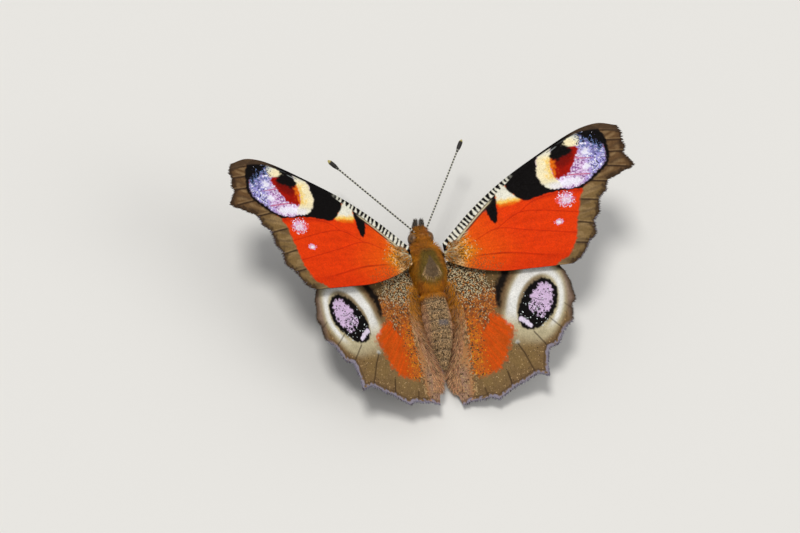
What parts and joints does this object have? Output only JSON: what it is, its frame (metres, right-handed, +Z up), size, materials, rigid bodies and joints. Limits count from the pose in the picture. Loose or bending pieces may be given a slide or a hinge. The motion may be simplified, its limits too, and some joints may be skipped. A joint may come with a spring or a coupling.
{
  "type": "peacock butterfly",
  "caption": "Still life-size butterfly with open eye-spotted wings, furry body and clubbed antennae, standing on its legs.",
  "frame": {"origin": "on the floor, under the middle of the whole butterfly", "axes": "+X to the butterfly's right, +Y towards its head, +Z up"},
  "size_m": [0.0592, 0.0379, 0.0208],
  "materials": {
    "body_fur": "dense ochre and olive-brown hair, matte",
    "abdomen_fur": "short dark brown hair with tan flecks, matte",
    "eye": "dark brown compound eye, satin",
    "palp": "grey-black scales, matte",
    "horn": "brown-black horn",
    "antenna": "dark with fine white rings, black club with a pale tip",
    "forewing": "velvety orange-red scales with eyespot above, near-black below",
    "hindwing": "velvety brown and orange scales with eyespot above, near-black below",
    "leg": "brown scaled horn, matte"
  },
  "bodies": {
    "root": {"head": "body_fur", "thorax": "body_fur", "abdomen": "abdomen_fur", "eye_left": "eye", "eye_right": "eye", "palp_left": "palp", "palp_right": "palp", "proboscis": "horn", "antenna_left": "antenna", "antenna_right": "antenna", "forewing_left": "forewing", "forewing_right": "forewing", "hindwing_left": "hindwing", "hindwing_right": "hindwing", "foreleg_left": "leg", "foreleg_right": "leg", "midleg_left": "leg", "midleg_right": "leg", "hindleg_left": "leg", "hindleg_right": "leg"}
  },
  "joints": []
}
